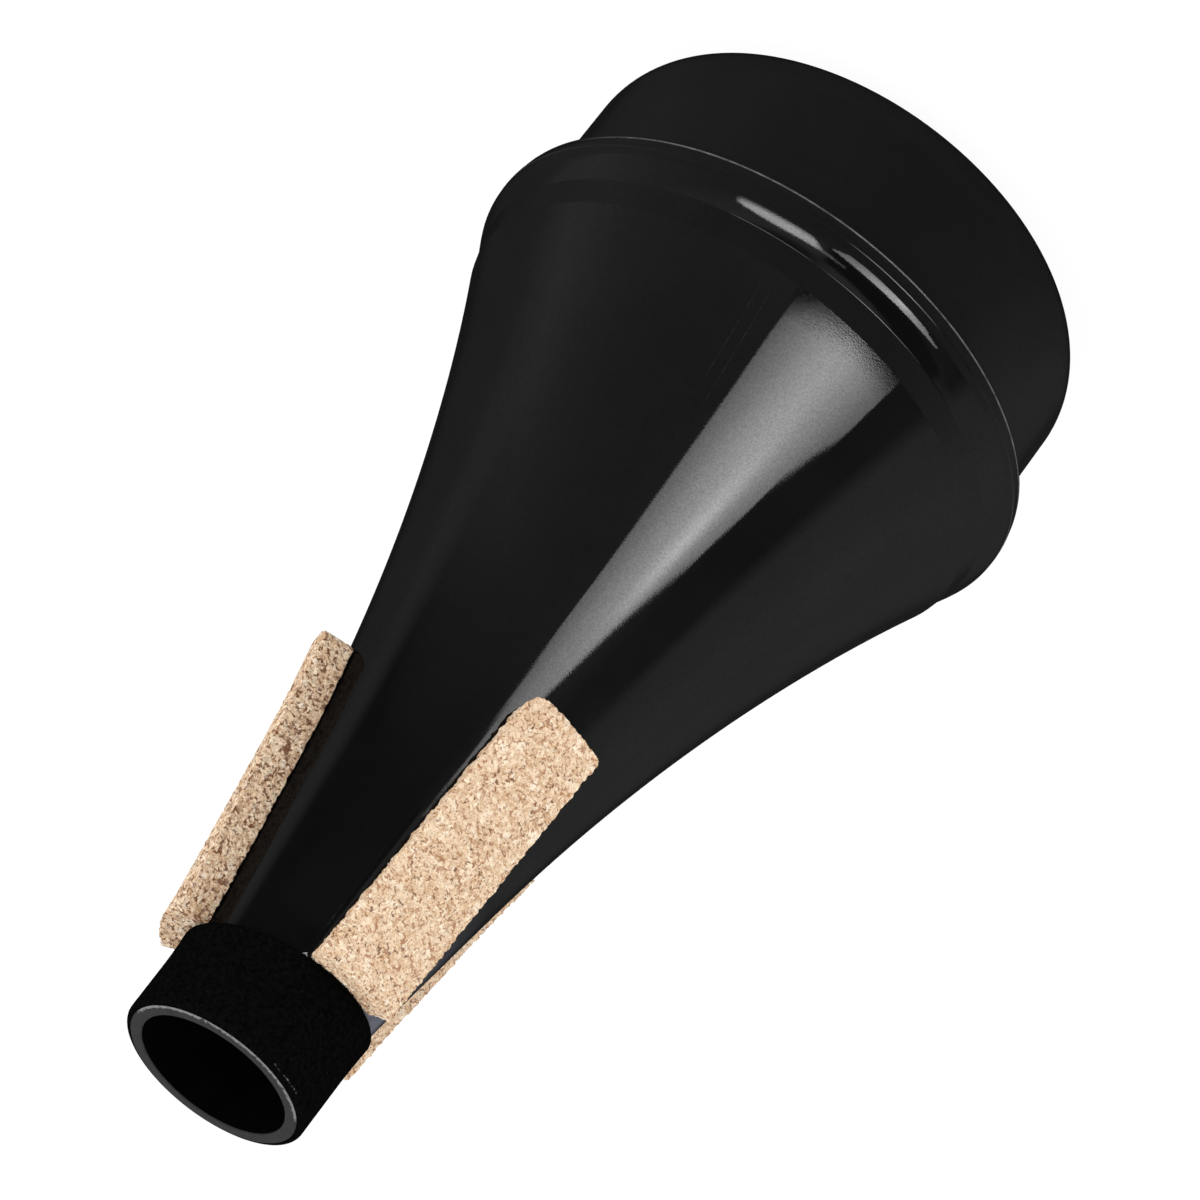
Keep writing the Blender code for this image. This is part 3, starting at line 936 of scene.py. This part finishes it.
def add_softbox(name, azimuth, elevation, distance, size, level):
    """A soft rectangular lamp with the given radiance, aimed at the object's middle."""
    data = bpy.data.lights.new(name, "AREA")
    data.shape = "RECTANGLE"
    data.size, data.size_y = size
    data.energy = level * math.pi * size[0] * size[1]
    lamp = bpy.data.objects.new(name, data)
    bpy.context.scene.collection.objects.link(lamp)
    toward = direction(azimuth, elevation)
    lamp.location = Vector(OBJECT_MIDDLE) + toward * distance
    lamp.rotation_mode = "QUATERNION"
    lamp.rotation_quaternion = toward.to_track_quat("Z", "Y")
    lamp.visible_camera = False
    lamp.visible_glossy = False


# Panels of light that the gloss reflects. Each stands upright in front of the object, and
# its outline is given in mm to the photograph's right and up. Its level is a curve across
# times a curve up, and the large panel has a hot spot: place, spread and level
PANEL_DISTANCE = 330.0 * MM
PANEL_OUTLINE = ((-17, 112.2), (18, 113.5), (60, 114.4), (133, 115.7), (239, 117.5), (324, 119.2),
                 (332, 107), (307, 103), (284, 99), (264, 97), (269, 94), (264, 91), (251, 88),
                 (249, 85), (214, 82), (192, 80), (170, 77), (144, 73), (100, 69),
                 (38, 67), (47, 70), (44, 74.5), (25, 77), (31, 79), (20, 81),
                 (13, 84), (9, 90), (-2, 97), (-9, 102), (-14, 106), (-18, 111))
PANEL_ACROSS = ((-20, 6.5), (10, 10.5), (40, 14.0), (70, 19.0), (100, 23.0), (130, 25.5),
                (160, 24.0), (190, 20.0), (220, 17.0), (250, 14.0), (280, 11.0), (330, 8.0))
PANEL_UP = ((66, 0.45), (76, 0.58), (80, 0.65), (84, 0.75), (92, 0.86), (100, 1.0), (120, 1.0))
PANEL_SPOT = ((162, 90), (22, 6), 14.0)
PANEL_TOP = 40.0
OBJECT_MIDDLE = (0.0, 0.0, 0.10)

SIDE_DISTANCE = 1000.0 * MM
SIDE_OUTLINE = ((-860, 330), (-655, 321), (-505, 318), (-379, 311), (-275, 303),
                (-205, 302), (-152, 320), (-100, 340), (77, 340), (77, 346), (-5, 347),
                (-106, 350), (-204, 357), (-304, 367), (-433, 377), (-571, 381), (-728, 381),
                (-860, 376))
SIDE_ACROSS = ((-860, 3.0), (-815, 14.0), (-780, 21.0), (-700, 24.0), (-300, 25.0),
               (-165, 22.0), (-100, 10.0), (77, 5.0))
SIDE_UP = ((276, 0.15), (288, 0.2), (299, 0.45), (309, 0.9), (316, 1.0), (340, 1.0), (352, 0.7))
SIDE_SLANT = 0.055

# a small dark flag that keeps the large panel out of the neck's gloss
FLAG_DISTANCE = 165.0 * MM
FLAG_OUTLINE = ((0, 103.5), (45, 103.5), (45, 130), (0, 130))
FLAG_ACROSS = ((0, 0.2), (11, 0.2), (14, 1.0), (45, 1.0))
FLAG_UP = ((103, 1.0), (130, 1.0))


def make_panel(name, distance, outline, across_levels, up_levels, spot=None, slant=0.0):
    mesh = bpy.data.meshes.new(name)
    corners = [(-x * MM, -distance, z * MM) for x, z in outline]
    mesh.from_pydata(corners, [], [tuple(range(len(corners)))])
    m = new_material(name)
    axes = m.axes(m.place())
    across = m.math("DIVIDE", axes["X"], -MM)
    up = m.math("DIVIDE", axes["Z"], MM)
    slanted = m.math("ADD", up, m.math("MULTIPLY", across, slant))
    level = m.math("MULTIPLY", m.scaled_ramp(across, across_levels, PANEL_TOP),
                   m.scaled_ramp(slanted, up_levels, 1.0))
    if spot:
        center, spread, top = spot
        away = [m.math("DIVIDE", m.math("SUBTRACT", at, middle), size)
                for at, middle, size in zip((across, up), center, spread)]
        away = [m.math("MULTIPLY", share, share) for share in away]
        fall = m.math("EXPONENT", m.math("MULTIPLY", m.math("ADD", *away), -0.5))
        level = m.math("ADD", level, m.math("MULTIPLY", fall, top))
    glow = m.add("ShaderNodeEmission", {}, Strength=level)
    m.feed(m.nodes["Material Output"].inputs["Surface"], glow.outputs[0])
    panel = add_object(name, mesh, m.owner)
    panel.visible_camera = False
    panel.visible_diffuse = False
    panel.visible_transmission = False
    panel.visible_volume_scatter = False
    panel.visible_shadow = False


def make_lights():
    add_softbox("front_soft", 25.0, 35.0, 1.2, (0.9, 0.9), 1.65)
    add_softbox("left_soft", -80.0, 30.0, 1.2, (0.8, 0.8), 2.1)
    add_softbox("top_soft", 0.0, 85.0, 1.4, (1.0, 1.0), 0.78)
    make_panel("light_panel", PANEL_DISTANCE, PANEL_OUTLINE, PANEL_ACROSS, PANEL_UP, PANEL_SPOT)
    make_panel("side_panel", SIDE_DISTANCE, SIDE_OUTLINE, SIDE_ACROSS, SIDE_UP, slant=SIDE_SLANT)
    make_panel("dark_flag", FLAG_DISTANCE, FLAG_OUTLINE, FLAG_ACROSS, FLAG_UP)


def main():
    bpy.context.scene.view_settings.view_transform = "Standard"
    make_camera()
    gloss = gloss_material("gloss_shell", (0.0021, 0.0021, 0.0022), 0.03, lines_and_painted_reflection=True)
    cap_gloss = gloss_material("gloss_cap", (0.0021, 0.0021, 0.0022), 0.08)
    bore = bore_material()
    make_shell(gloss, sawn_material(), bore)
    make_cap(cap_gloss, bore, edge_material(), flash_highlight_material())
    make_band(sleeve_material())
    make_glue(glue_material())
    make_corks(cork_material())
    make_world()
    make_floor()
    make_lights()


main()
